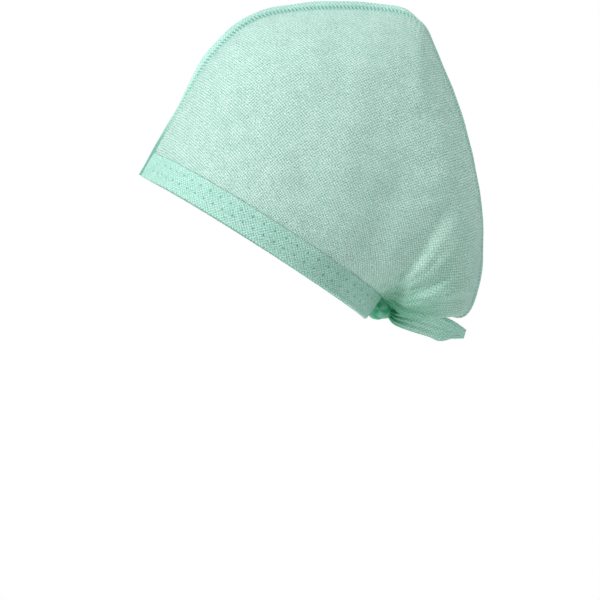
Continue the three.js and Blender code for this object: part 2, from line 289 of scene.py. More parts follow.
# %% Ribs
# y, z: where the rib leaves the seam; land: share of the band where it lands; side, drop: its
# first run, sideways and down; spread, rise, back: where it turns before it lands. All in mm.
RIB_COLUMNS = ("y", "z", "land", "side", "drop", "spread", "rise", "back")
RIBS = np.array(
    [
        (-55, 91, 0.1, 20, 6, 0, 11, 0),
        (-29, 133, 0.22, 42, 12, 2, 30, 0),
        (0, 158, 0.35, 57, 14, 4, 56, 0),
        (30, 165, 0.47, 62, 18, 6, 64, 2),
        (70, 166.5, 0.6, 60, 20, 10, 68, 8),
        (105.5, 162.5, 0.7, 50, 24, 20, 62, 15),
        (119, 155, 0.745, 48, 25, 25, 57, 20),
        (126.5, 138.5, 0.78, 49, 22, 30, 50, 25),
        (140.5, 103.5, 0.83, 52, 12, 38, 36, 32),
        (153, 60.5, 0.87, 55, 6, 44, 22, 38),
        (159.5, 15, 0.905, 54, 4, 44, 10, 42),
        (156, -27, 0.93, 48, 2, 38, -2, 40),
        (146.5, -47, 0.95, 36, 0, 27, -8, 32),
        (132, -45, 0.962, 23, 0, 18, -7, 22),
        (117, -40.7, 0.974, 12, 0, 9, -4, 11),
        (97, -37.5, 0.986, 3, 0, 2, 0, 2),
    ]
)
SEAM_START = band_point(0.0, BAND_HEIGHT + GAP)
SEAM_POINTS = np.vstack([SEAM_START, np.column_stack([np.zeros(len(RIBS)), RIBS[:, :2]])])
SEAM_SPANS = len(SEAM_POINTS) - 1


def rib_column(name, t):
    """A column of the table as a smooth curve; in front of the first rib every size is 0."""
    return through_rows(np.concatenate([[0], RIBS[:, RIB_COLUMNS.index(name)]]), t)


def smooth_panel(t, v):
    """Cubic Bezier rib at t, at the share v of its way down: start, two turning points, end."""
    start = through_points(SEAM_POINTS, t)
    land = np.clip(rib_column("land", t), 0, 1)
    end = band_point(land, BAND_HEIGHT + GAP)
    down = unit((end - start) * [0, 1, 1])
    start = start + [GAP / 2, 0, 0]
    end[..., 0] = np.maximum(end[..., 0], GAP / 2)
    shape_columns = RIB_COLUMNS[3:]
    size = {name: rib_column(name, t)[..., None] for name in shape_columns}
    first = start + size["side"] * SIDE + size["drop"] * down
    second = end + size["spread"] * SIDE + size["rise"] * RIM_UP + size["back"] * RIM_BACK
    v = v[..., None]
    w = 1 - v
    return w**3 * start + 3 * w**2 * v * first + 3 * w * v**2 * second + v**3 * end


# %% [markdown]
# ## Folds, gathers and the slack of worn cloth
#
# One soft crease runs down to where the ties are knotted, and small gathers run into it too.
# They could be sculpted, but a table can be read and changed: each fold is a line in the side
# view that the cloth sinks or rises along. On top of these come faint waves, since cloth this
# thin is never quite smooth, tiny puckers beside the weld of the seam, and pleats that grow
# towards the back, where the most cloth is drawn together.

# %% Folds
# from y, z to y, z in mm; how far the cloth sinks at each end, below zero a ridge; half width
FOLDS = [
    (147, 42, 98, -30, 0.5, 5.5, 12),
    (152, 5, 104, -33, -0.2, -1.6, 6),
    (152, -14, 106, -37, 0.4, 1.8, 5),
    (149, -29, 108, -38, -1.0, -1.6, 4),
    (147, -37, 112, -41, 2.2, 1.4, 4),
    (108, 60, 84, -5, 0.3, 1.2, 9),
    (21, 27, 30, 22, -1.5, -1.5, 11),
]
FINE_FOLDS = [
    (154, 20, 112, -28, 0.1, 0.9, 3.0),
    (146, 22, 106, -24, -0.1, -0.8, 3.2),
    (156, -6, 110, -34, 0.3, 0.9, 2.2),
    (150, -20, 106, -35, -0.5, -0.7, 1.9),
    (150, -33, 118, -39, 0.5, 0.7, 1.6),
    (128, 40, 96, -22, 0.0, 0.7, 3.6),
    (112, 24, 88, -18, 0.0, -0.6, 4.0),
    (147, 42, 98, -30, 0.3, 1.7, 4.5),
    (40, 26, 126, 34, 0.4, 1.1, 5.0),
    (64, 16, 108, -10, 0.7, 0.9, 5.0),
    (98, 122, 130, 66, 0.3, 0.9, 7.0),
    (-48, 62, -8, 28, 0.2, 0.7, 7.0),
    (60, 150, 112, 152, 0.5, 0.7, 7.0),
    (118, 140, 140, 60, 0.7, 0.2, 6.0),
    (-40, 96, -10, 40, 0.25, 0.1, 9.0),
]
FOLD_SHIFT_RIGHT = (-4, 6)  # the right side folds a little further forward and higher
print(len(FOLDS), "folds of the solid model and", len(FINE_FOLDS), "finer ones")

# %% Folds and waves as heights
WAVES = 8  # how many are added up


def fold_height(points, v, shift, folds):
    """Minus the sum of the folds' depths, each fading with distance as a bell curve; it fades
    out at the seam and at the band."""
    seen = points[..., 1:] - np.asarray(shift, float)
    height = np.zeros(points.shape[:2])
    for y, z, to_y, to_z, depth, to_depth, width in folds:
        line = np.array([to_y - y, to_z - z], float)
        share = np.clip(((seen - [y, z]) @ line) / (line @ line), 0, 1)
        away = np.linalg.norm(seen - [y, z] - share[..., None] * line, axis=-1) / width
        height -= (depth + (to_depth - depth) * share) * np.exp(-(away**2))
    return height * smooth(v, 0.02, 0.22) * (1 - smooth(v, 0.9, 1))


def soft_waves(points, seed, amount, length):
    """Average of some plane waves in random directions, each about as long as asked for."""
    chance = np.random.default_rng(seed)
    total = np.zeros(points.shape[:2])
    for _ in range(WAVES):
        direction = unit(chance.normal(size=3))
        wave = length * chance.uniform(0.7, 1.6)
        total += np.sin(2 * np.pi * (points @ direction) / wave + chance.uniform(0, 2 * np.pi))
    return amount * total / WAVES


# %% Panels
PANEL_ROWS, PANEL_COLUMNS = 341, 121
SLACK = [(2.4, 62), (0.8, 24)]  # faint waves: height and length, mm
ALONG_SEAM = 530  # length of the weld, mm
PUCKER, PUCKER_PITCH, PUCKER_DRIFT = 0.22, 9, 31  # beside the weld, mm
PLEATS, PLEAT_HEIGHT = 34, 1.1  # how many over the whole panel, and mm
BROAD_FOLDS, BROAD_HEIGHT = 11, 1.5
# shares between which they rise along the seam, rise down the rib and fade above the band
PLEATS_WHERE = (0.52, 0.85), (0.3, 0.9), (0.96, 1)
BROAD_WHERE = (0.5, 0.75), (0.25, 0.7), (0.93, 1)


def panel_grid():
    """The two parameters of a panel, both from 0 to 1: t along the seam and v down each rib."""
    t, v = np.linspace(0, 1, PANEL_ROWS), np.linspace(0, 1, PANEL_COLUMNS)
    return np.meshgrid(t, v, indexing="ij")


def back_only(t, v, along, down, end):
    """The product of two S-shaped rises and one S-shaped fall, between the shares given."""
    return smooth(t, *along) * smooth(v, *down) * (1 - smooth(v, *end))


def panel_surface(seed, shift):
    """The smooth panel, moved along its normal by the sum of the folds, the waves, the puckers
    (a sine along the seam that dies out down the rib), the pleats and the broad folds (sines
    along the panel that grow towards the back and fade at the seam and the band)."""
    t, v = panel_grid()
    points = smooth_panel(t, v)
    along_seam, along_rib = np.gradient(points, axis=0), np.gradient(points, axis=1)
    normal = unit(np.cross(along_rib, along_seam))
    height = fold_height(points, v, shift, FOLDS) + fold_height(points, v, shift, FINE_FOLDS)
    loose = smooth(v, 0.03, 0.25) * (1 - smooth(v, 0.85, 1))
    for number, (amount, length) in enumerate(SLACK):
        height += loose * soft_waves(points, seed + number, amount, length)
    run = ALONG_SEAM * t
    pucker = np.sin(2 * np.pi * run / PUCKER_PITCH + 1.4 * np.sin(run / PUCKER_DRIFT))
    height += PUCKER * pucker * np.exp(-(((v - 0.03) / 0.05) ** 2)) * smooth(v, 0, 0.02)
    pleat = np.sin(2 * np.pi * PLEATS * t + 2 * np.sin(10 * np.pi * t + seed))
    pleat *= back_only(t, v, *PLEATS_WHERE)
    broad = np.sin(2 * np.pi * BROAD_FOLDS * t + 1.5 * np.sin(7 * t + seed))
    broad *= back_only(t, v, *BROAD_WHERE)
    height += PLEAT_HEIGHT * pleat + BROAD_HEIGHT * broad
    points = points + height[..., None] * normal
    points[..., 0] = np.maximum(points[..., 0], GAP / 2)
    return points


def plies_and_painted_shade_at_back():
    """0 to 1: on the back and lower part of the crown, partly how far the gathered cloth lies
    over itself and partly painted shade; the material turns both deep green and less open. It is
    the product of an S-shaped rise towards the back and one down the rib, so it is highest beside
    the knot."""
    t, v = panel_grid()
    return smooth(t, 0.55, 0.97) * smooth(v, 0.15, 0.95)


OTHER_SIDE = np.array([-1, 1, 1])
crown_points = {
    "left": panel_surface(seed=3, shift=(0, 0)),
    "right": panel_surface(seed=11, shift=FOLD_SHIFT_RIGHT) * OTHER_SIDE,
}
print("crown reaches", crown_points["left"].max(axis=(0, 1)).round(1), "mm")

# %% Crown pieces
crown = {}
for side, points in crown_points.items():
    outwards = side == "left"
    # the crown's weld number: painted shade over its back and lower part, and plies gathered by
    # the knot
    piece = sheet_from_grid("crown_cloth_" + side, points, weld=plies_and_painted_shade_at_back(), flip=outwards)
    crown[side] = piece
    print(piece.name, "area", round(cloth_area(piece), 4), "square metres")

# %% [markdown]
# ## Flat pieces again: a UV map that a pattern cutter would know
#
# The pattern embossed in the cloth was rolled in while the cloth was flat, so it has to follow
# the panel as it lay flat. A map of the grid's own lengths would stretch it where the ribs
# spread. Blender's minimum-stretch unwrap lays the panel out with every bit of cloth as near
# its true size as it can. The map is then scaled so that one unit is one millimetre of cloth.

# %% Unwrap
EVERY_ROW, EVERY_COLUMN = 5, 4


def unwrapped(coarse):
    """The UV place of each point of a mesh after Blender has unwrapped it."""
    bpy.context.view_layer.objects.active = coarse
    for other in bpy.context.selected_objects:
        other.select_set(False)
    coarse.select_set(True)
    bpy.ops.object.mode_set(mode="EDIT")
    bpy.ops.mesh.select_all(action="SELECT")
    bpy.ops.uv.unwrap(method="MINIMUM_STRETCH", margin=0)
    bpy.ops.object.mode_set(mode="OBJECT")
    corners = corner_points(coarse.data)
    flat = np.empty(2 * len(corners), dtype=np.float32)
    coarse.data.uv_layers["cloth_mm"].data.foreach_get("uv", flat)
    uv = np.zeros((len(coarse.data.vertices), 2))
    uv[corners] = flat.reshape(-1, 2)
    return uv


def lay_flat(points):
    """Unwraps a coarse copy of the grid, because every few rows are enough. The map grows by
    the root of the ratio of the areas, on the cloth and flat, and turns until the middle rib
    runs straight down it."""
    few = points[::EVERY_ROW, ::EVERY_COLUMN]
    coarse = sheet_from_grid("panel_to_unwrap", few)
    uv = unwrapped(coarse)
    quads = uv[corner_points(coarse.data)].reshape(-1, 4, 2)
    diagonal, other = quads[:, 2] - quads[:, 0], quads[:, 3] - quads[:, 1]
    flat_area = np.abs(diagonal[:, 0] * other[:, 1] - diagonal[:, 1] * other[:, 0]).sum() / 2
    uv *= np.sqrt(cloth_area(coarse) / flat_area) / MM
    bpy.data.objects.remove(coarse)
    rows, columns = few.shape[:2]
    uv = uv.reshape(rows, columns, 2)
    down = unit(uv[rows // 2, -1] - uv[rows // 2, 0])
    return uv @ np.array([[-down[1], down[0]], [down[0], down[1]]]).T


def more_rows(grid, count):
    """The grid with this many rows, each on the straight line between the two nearest ones."""
    place = np.linspace(0, len(grid) - 1, count)
    row = np.minimum(place.astype(int), len(grid) - 2)
    share = (place - row)[:, None, None]
    return grid[row] * (1 - share) + grid[row + 1] * share


def unwrap_in_millimetres(piece, points):
    """Fills the coarse flat map up to the whole grid, first the rows and then the columns, and
    gives it to the piece. Returns the breadth and height of the cut."""
    rows, columns = points.shape[:2]
    tall = more_rows(lay_flat(points), rows)
    uv = more_rows(tall.swapaxes(0, 1), columns).swapaxes(0, 1).reshape(-1, 2)
    layer = piece.data.uv_layers["cloth_mm"]
    layer.data.foreach_set("uv", uv[corner_points(piece.data)].astype(np.float32).ravel())
    return np.ptp(uv, axis=0)


CROWN_PLY = 0.4
crown_cut = {side: unwrap_in_millimetres(crown[side], crown_points[side]) for side in crown}
for side, cut in crown_cut.items():
    give_thickness(crown[side], CROWN_PLY, offset=-1.0)
    print("crown", side, "was cut from", cut.round(), "mm")

# %% [markdown]
# ## The band
#
# The hem is the panel's own cloth turned up and welded down with two rows of pin welds. It
# could be a plain strip with dots painted on. But light catches the fold and the pits, so its
# section is a long narrow U, carried round the rim: outer leaf, rounded fold at the bottom,
# inner leaf. The pins press a small pit in both leaves. The pit is real shape here, and its
# place is also stored at each point, so the material can make the fused spot darker.

# %% Band
BAND_START, BAND_END = 0.002, 0.972  # shares of half the rim
BAND_STATIONS = 560
BAND_PLY = 0.45
LEAF_APART = 1.3  # between the outer and the inner leaf
FOLD_RADIUS = LEAF_APART / 2
LEAF_SHORTER = 0.6  # the inner leaf ends this far below the top
OUTER_STEPS, TURN_STEPS, INNER_STEPS = 42, 9, 20
SWELL, RIPPLE = 0.35, 0.22  # mm
FOLD_SWELL, FOLD_SWELL_AT, FOLD_SWELL_HALF = 0.25, 1.2, 1.3  # mm
PIN_ROWS = [  # height above the bottom edge, pitch, first pin, mm
    (13.4, 8.9, 29.9),
    (6.8, 8.3, 15.2),
]
PIN_RADIUS, PIN_DEPTH = 0.68, 0.45


def band_profile():
    """Down the outer leaf, half a turn round the fold, up the inner leaf: the distance behind
    the outer face, and the height."""
    outer = np.linspace(BAND_HEIGHT, FOLD_RADIUS, OUTER_STEPS)
    turn = np.linspace(0, np.pi, TURN_STEPS)[1:-1]
    inner = np.linspace(FOLD_RADIUS, BAND_HEIGHT - LEAF_SHORTER, INNER_STEPS)
    behind = np.concatenate([0 * outer, FOLD_RADIUS * (1 - np.cos(turn)), LEAF_APART + 0 * inner])
    height = np.concatenate([outer, FOLD_RADIUS * (1 - np.sin(turn)), inner])
    return behind, height


def pins_at(run, height):
    """1 at the middle of a pin weld and 0 away from it, falling with distance as a bell
    curve. The nearest pin of a row is found from the remainder of the run by the pitch."""
    mark = np.zeros(np.broadcast(run, height).shape)
    for row_height, pitch, first in PIN_ROWS:
        to_pin = (run - first + pitch / 2) % pitch - pitch / 2
        away = np.hypot(to_pin, height - row_height) / PIN_RADIUS
        mark = np.maximum(mark, np.exp(-(away**2)) * (run > first - pitch / 2))
    return mark


def band_surface(seed):
    """The U carried round the rim. The leaf swells between the pin rows by a squared sine, the
    fold at the bottom bulges as a bell curve, each pin is a pit, and the upper edge waves."""
    behind, height = band_profile()
    share = np.linspace(BAND_START, BAND_END, BAND_STATIONS)
    run = (share * HALF_RIM)[:, None]
    weld = pins_at(run, height[None])
    swell = SWELL * np.sin(np.pi * height / BAND_HEIGHT)[None] ** 2
    from_fold = (height - FOLD_SWELL_AT) / FOLD_SWELL_HALF
    swell = swell + FOLD_SWELL * np.exp(-(from_fold**2))[None]
    ripple = RIPPLE * np.sin(run / 5.1 + 1.3 * np.sin(run / 17) + seed)
    ripple = ripple * (height / BAND_HEIGHT)[None]
    leaf = np.where(behind < FOLD_RADIUS, 1.0, -1.0)[None]
    inset = behind[None] - leaf * (swell - PIN_DEPTH * weld) - ripple
    outside = band_point(share[:, None], height[None])
    points = outside - inset[..., None] * rim_outward(share)[:, None]
    points[..., 0] = np.maximum(points[..., 0], GAP / 2)
    flat = np.concatenate([[0], np.cumsum(np.hypot(np.diff(behind), np.diff(height)))])
    uv = np.stack(np.broadcast_arrays(run, flat[None]), axis=-1)
    return points, uv, weld


band = {}
for side, seed in (("left", 0.0), ("right", 2.1)):
    points, uv, weld = band_surface(seed)
    mirrored = side == "right"
    points = points * OTHER_SIDE if mirrored else points
    piece = sheet_from_grid("band_cloth_" + side, points, uv, weld, flip=mirrored)
    band[side] = (piece, uv.reshape(-1, 2).max(axis=0))
    give_thickness(piece, BAND_PLY, offset=-1.0)
    print(piece.name, "flat", band[side][1].round(1), "mm")

# %% [markdown]
# ## The seam allowance
#
# Where the two panels are welded, a strip of both stands up along the whole middle of the cap.
# It is upright on top and pressed to the right in front and at the back. It could be a flat
# ribbon along a curve, but the real one curls. So it is a grid whose rows are bent step by step
# away from the weld line. A row of slanting weld bars runs along its foot, about 2.5 mm apart,
# and its free edge waves.

# %% Seam line
SEAM_WIDTH, SEAM_END_WIDTH, SEAM_STOPS = 5.8, 2.4, 15.6
SEAM_NARROWS = (12.5, 14)  # rib numbers between which the width falls


def seam_line(count):
    """Points of the weld line, with the rib number at each: up the band's front from -1 to 0,
    then over the crown. They are then spaced evenly by their running length."""
    ribs = np.linspace(-1, SEAM_STOPS, count)
    hem = band_point(0.0, BAND_HEIGHT * (1 + np.minimum(ribs, 0)) + GAP * (ribs > -1))
    crown_part = through_points(SEAM_POINTS, np.maximum(ribs, 0) / SEAM_SPANS)
    line = np.where((ribs < 0)[:, None], hem, crown_part)
    run = np.concatenate([[0], np.cumsum(np.linalg.norm(np.diff(line, axis=0), axis=1))])
    even = np.linspace(0, run[-1], count)
    line = np.stack([np.interp(even, run, line[:, k]) for k in range(3)], axis=1)
    return line * [0, 1, 1], np.interp(even, run, ribs), even


# %% Seam allowance
SEAM_STATIONS = 1900
SEAM_PLY = 0.7  # two plies pressed together
SEAM_ACROSS, SEAM_UNDER = 16, -0.35  # points of a row, and the first one's share of the width
SEAM_ROOT = 0.5  # how far the strip reaches into the crown cloth
# rib number, and lean to the right in degrees
SEAM_LEAN = [(-1, 76), (1.1, 68), (2.1, 32), (3, 8), (5, 5), (5.7, 26), (6.7, 78), (16, 76)]
LEAN_WAVER = 4  # degrees
EDGE_WAVES = [(3.5, 9.0, 1), (2.0, 4.1, 0)]  # degrees, mm per radian, how far its pace drifts
EDGE_DRIFT = 23  # mm per radian
BAR_PITCH, BAR_LENGTH, BAR_WIDTH, BAR_FOOT, BAR_SLANT = 2.6, 1.7, 0.55, 1.5, 0.55
HEM_WELD = 0.7  # the front of the hem is pressed flat, nearly as a weld


def seam_lean(ribs):
    """Lean in degrees: an S-shaped change from row to row of the table, and a slow sine."""
    table = np.array(SEAM_LEAN, float)
    row = np.clip(np.searchsorted(table[:, 0], ribs) - 1, 0, len(table) - 2)
    part = smooth((ribs - table[row, 0]) / (table[row + 1, 0] - table[row, 0]), 0, 1)
    change = (table[row + 1, 1] - table[row, 1]) * part
    return table[row, 1] + change + LEAN_WAVER * np.sin(1.9 * ribs)


def seam_reach(ribs, run):
    """Distance of each point of a row from the weld line. The first few lie under the line, in
    the crown cloth. The rest are shares of the width, which wavers and falls near the knot."""
    width = SEAM_WIDTH + (SEAM_END_WIDTH - SEAM_WIDTH) * smooth(ribs, *SEAM_NARROWS)
    width = width + 0.25 * np.sin(run / 13) + 0.15 * np.sin(run / 4.7 + 1)
    reach = np.linspace(SEAM_UNDER, 1, SEAM_ACROSS)[None] * width[:, None]
    under = -SEAM_ROOT * np.linspace(1, 0, SEAM_ACROSS)[None]
    return np.where(reach < 0, under, reach)


def seam_surface():
    """Each step of a row is turned from upright by the lean, which sets in over the first
    steps, and by a wave that grows towards the free edge. The running sum of the steps gives
    the row. A bar is a bell curve across its width and a flat-topped one along its length."""
    line, ribs, run = seam_line(SEAM_STATIONS)
    along = unit(np.gradient(line, axis=0))
    out = np.stack([0 * run, -along[:, 2], along[:, 1]], axis=1)
    reach = seam_reach(ribs, run)
    drift = np.sin(run / EDGE_DRIFT)
    wave = sum(size * np.sin(run / pace + part * drift) for size, pace, part in EDGE_WAVES)
    tip = np.clip(reach / SEAM_WIDTH, 0, 1) ** 1.4
    lean = seam_lean(ribs)[:, None] * smooth(reach, -0.6, 1.6)
    turn = np.radians(lean + wave[:, None] * tip)
    step = np.diff(reach, axis=1, prepend=reach[:, :1])
    upward = np.cumsum(step * np.cos(turn), axis=1) + reach[:, :1]
    sideways = -np.cumsum(step * np.sin(turn), axis=1)
    slanted = run[:, None] + BAR_SLANT * (reach - BAR_FOOT)
    to_bar = (slanted + BAR_PITCH / 2) % BAR_PITCH - BAR_PITCH / 2
    past_foot = np.abs(reach - BAR_FOOT) / BAR_LENGTH * 1.3
    bars = np.exp(-((to_bar / BAR_WIDTH) ** 2) - past_foot**4)
    hem_weld = HEM_WELD * (1 - smooth(ribs, 0.0, 1.3))
    weld = np.maximum(bars, hem_weld[:, None])
    points = line[:, None] + upward[..., None] * out[:, None] + sideways[..., None] * SIDE
    uv = np.stack(np.broadcast_arrays(run[:, None], reach), axis=-1)
    return points, uv, weld


points, uv, weld = seam_surface()
seam = sheet_from_grid("seam_allowance_cloth", points, uv, weld)
give_thickness(seam, SEAM_PLY, offset=0.0)
print("the seam is", round(float(uv[..., 0].max())), "mm long")

# %% [markdown]
# ## The ties
#
# The ends of the hem go on as tapes. They are bunched where the knot grips them and open out
# to their full width. They could be curves with a flat section, but those can't be pleated. So
# each is a grid of cross lines, with pleats that are deep at the knot and fade along the tape.
# The left tape hangs in front in the photograph, and the right one shows behind it.

# %% Ties
# x, y, z of the centre line, half width, and lean of the upper edge to the left in degrees
TIES = {
    "left": [
        (2.2, 96.7, -47.2, 3.0, 0),
        (3.0, 101, -49.5, 5.2, 6),
        (4.5, 113, -52.2, 7.2, 12),
        (6.0, 125, -55.6, 7.5, 14),
        (7.0, 131.5, -57.8, 7.8, 10),
        (7.5, 138.5, -59, 5.0, 4),
        (7.8, 144.5, -60.8, 2.2, 0),
    ],
    "right": [
        (-2.6, 96.7, -45.6, 3.0, 0),
        (-5.0, 104, -48, 4.4, -10),
        (-8.0, 116, -50.3, 5.7, -14),
        (-9.0, 127, -53, 6.4, -12),
        (-8.5, 138, -57.5, 6.5, -6),
        (-8.0, 148.5, -60.6, 3.2, 0),
    ],
}
TAPE_PLY = 0.6
TAPE_CURL = 0.12  # how far the edges bend back, as a share of half the width
TAPE_STATIONS, TAPE_ACROSS = 150, 48
PLEATS_IN_TAPE = 3.5
PLEAT_LEFT, PLEAT_GRIPPED = 0.12, 1.1  # depth at the end, and what the knot adds to it, mm
INSIDE_KNOT, INSIDE_PACE = -0.06, 30  # where the tape starts before its table, mm per share
TAPE_WAVE = 0.35  # mm


def tie_surface(rows, seed):
    """Cross lines along the tape, each as wide as the table says, bent back at the edges by a
    square, folded into pleats by a cosine whose depth shrinks from the knot to the end, and
    waving there by a sine. Before its table the tape runs straight on into the knot."""
    t = np.linspace(INSIDE_KNOT, 1, TAPE_STATIONS)
    table = np.array(rows, float)
    x, y, z, half, lean = (through_rows(table[:, k], t) for k in range(5))
    centre = np.stack([x, y, z], axis=1)
    centre[t < 0] += (t[t < 0] * INSIDE_PACE)[:, None] * unit(table[1, :3] - table[0, :3])
    along = unit(np.gradient(centre, axis=0))
    lean = np.radians(lean)
    upright = np.stack([np.sin(lean), 0 * lean, np.cos(lean)], axis=1)
    face = unit(np.cross(along, upright))
    up = unit(np.cross(face, along))
    run = np.concatenate([[0], np.cumsum(np.linalg.norm(np.diff(centre, axis=0), axis=1))])
    half = half[:, None]
    q = np.linspace(-1, 1, TAPE_ACROSS)[None]
    depth = PLEAT_LEFT + PLEAT_GRIPPED * (1 - smooth(t, 0.0, 0.55))
    pleat = depth[:, None] * np.cos(PLEATS_IN_TAPE * np.pi * q + seed + 0.9 * t[:, None])
    curl = TAPE_CURL * half * q**2
    wave = TAPE_WAVE * np.sin(run[:, None] / 4.3 + 1.5 * q + seed)
    offset = curl + pleat + wave * smooth(t, 0.2, 0.6)[:, None]
    flat = centre[:, None] + (half * q)[..., None] * up[:, None]
    points = flat + offset[..., None] * face[:, None]
    # deep green at the knot, fading along the tape: partly plies bunched by the knot, partly
    # painted shade
    bunched_and_painted_shade = 1 - smooth(t, 0.0, 0.36)
    return points, np.repeat(bunched_and_painted_shade[:, None], TAPE_ACROSS, axis=1)


ties = {}
for side, rows in TIES.items():
    points, bunched_and_painted_shade = tie_surface(rows, 0.4 if side == "left" else 1.9)
    piece = sheet_from_grid("tie_tape_" + side, points, weld=bunched_and_painted_shade)
    give_thickness(piece, TAPE_PLY, offset=0.0)
    ties[side] = (piece, np.ptp(cloth_lengths(points).reshape(-1, 2), axis=0))
    print(piece.name, "flat", ties[side][1].round(1), "mm")

# %% [markdown]
# ## The knot
#
# Pulled tight, the knot is an oval lump with the tape wound round it three times. A tube along
# a trefoil curve would be a truer knot, but pulled this tight it leaves holes between its
# turns. So the knot is a closed ball with the wraps as ridges. Each wrap is crumpled
# lengthwise, so small creases run along it, and where two wraps meet there is a groove.

# %% Knot
KNOT_MIDDLE = np.array([0, 88, -43.2])
KNOT_SIZE = np.array([16.2, 17.0, 14.2])  # mm along x, y and z
KNOT_WRAPS, KNOT_RIDGE, WRAP_SLANT = 3, 0.11, 1.3
GROOVE, GROOVE_WIDTH = 0.05, 0.35  # share of the radius, and radians of a wrap
KNOT_RINGS, KNOT_AROUND = 110, 260
SAME_POINT = 0.001 * MM  # the rows at the poles are single points


def knot_surface():
    """Sphere with x as its axis, scaled to the size; the radius rises on each wrap, drops in
    the groove between two, and carries the creases that run along the wraps. All of them fade
    to nothing at the poles. The second result makes the whole knot deep green, most of all in
    the grooves: partly the many plies, partly painted shade."""
    theta = np.linspace(0, np.pi, KNOT_RINGS)[:, None]
    phi = np.linspace(0, 2 * np.pi, KNOT_AROUND, endpoint=False)[None]
    x, ring = np.cos(theta), np.sin(theta)
    ball = np.stack(np.broadcast_arrays(x, ring * np.cos(phi), ring * np.sin(phi)), axis=-1)
    wrap = KNOT_WRAPS * (phi + WRAP_SLANT * x)
    at_poles = 1 - x**2
    groove = -GROOVE * np.exp(-(((wrap % (2 * np.pi) - np.pi) / GROOVE_WIDTH) ** 2))
    crease = 0.016 * np.cos(9 * x + 4 * np.sin(wrap)) + 0.012 * np.cos(8 * wrap + 6 * x)
    radius = 1 + (KNOT_RIDGE * np.cos(wrap) + groove + crease) * at_poles
    return ball * radius[..., None] * KNOT_SIZE / 2, 0.75 - 0.25 * np.cos(wrap)


turn = -RIM_DROP / 2
tilt = np.array([[1, 0, 0], [0, np.cos(turn), -np.sin(turn)], [0, np.sin(turn), np.cos(turn)]])
points, bunched_and_painted_shade = knot_surface()
knot = sheet_from_grid("tie_knot_cloth", points @ tilt.T + KNOT_MIDDLE, weld=bunched_and_painted_shade, closed=True)
knot_mesh = bmesh.new()
knot_mesh.from_mesh(knot.data)
bmesh.ops.remove_doubles(knot_mesh, verts=knot_mesh.verts, dist=SAME_POINT)
bmesh.ops.recalc_face_normals(knot_mesh, faces=knot_mesh.faces)
knot_mesh.to_mesh(knot.data)
knot_mesh.free()
print("knot faces", len(knot.data.polygons))

# %% [markdown]
# ## Colours and nodes
#
# A listed colour is an sRGB number, and the renderer works with light, so one function
# turns the first into the second. Nodes could be placed by hand in the editor, but a script
# that runs again needs them written down. So a second helper adds a node with its settings and
# its links.

# %% Helpers for materials
LINK_TYPES = (bpy.types.Node, bpy.types.NodeSocket)


def light_from(hex_colour):
    """sRGB hex to linear light: the low part is a straight line, the rest a power of 2.4."""
    srgb = np.array([int(hex_colour[k : k + 2], 16) for k in (1, 3, 5)]) / 255
    linear = np.where(srgb <= 0.04045, srgb / 12.92, ((srgb + 0.055) / 1.055) ** 2.4)
    return (*map(float, linear), 1.0)


def add_node(tree, kind, inputs=None, **settings):
    """A node of this kind. A value in inputs is a socket to link, a node whose first output is
    to be linked, or a number or colour to set."""
    new = tree.nodes.new(kind)
    for name, value in settings.items():
        setattr(new, name, value)
    for name, value in (inputs or {}).items():
        if isinstance(value, LINK_TYPES):
            source = value.outputs[0] if isinstance(value, bpy.types.Node) else value
            tree.links.new(source, new.inputs[name])
        else:
            new.inputs[name].default_value = value
    return new


print("mint in linear light:", np.round(light_from("#A6E0D0")[:3], 3))

# %% [markdown]
# ## Spunbond polypropylene nonwoven
#
# The cloth is melted polypropylene spun into endless fibres, laid down at random and passed
# between hot rollers. One roller carries small diamonds, and each presses the fibres into a
# clear, flat spot. Between the spots the fibres stay soft and scatter light, so the cloth is
# matt, pale and see-through at once, with a cloudy unevenness where more fibres fell.
#
# A photograph of such cloth could be laid on, but it would bring its own light and a scale
# that is hard to know. So one number, the density of the fibres, is worked out from the
# pattern and three kinds of unevenness, each with its real size in millimetres.

# %% Fibre density
SPOT_PITCH = 1.7  # mm; about 1.5 on the real cloth, drawn coarser so that the spots show
SPOT_EDGE = (-0.35, 0.6)  # between the outside and the inside of a spot, on the wave's scale
SPOT_SHARE, EVEN_SHARE = -0.48, 0.27  # what a spot takes away, and what is there everywhere
# length and width of a patch in mm, its turn in radians, how finely it breaks up, the lowest
# and highest value that count, and its share in the density
UNEVEN = [
    (1.1, 1.1, 0.0, 2.0, 0.32, 0.68, 0.55),  # tufts, finer on the real cloth than they show here
    (4.0, 0.4, 0.9, 2.0, 0.30, 0.70, 0.26),  # bundles of fibres
    (9.0, 9.0, 0.0, 3.0, 0.30, 0.70, 0.12),  # clouds, where more fibres fell
]


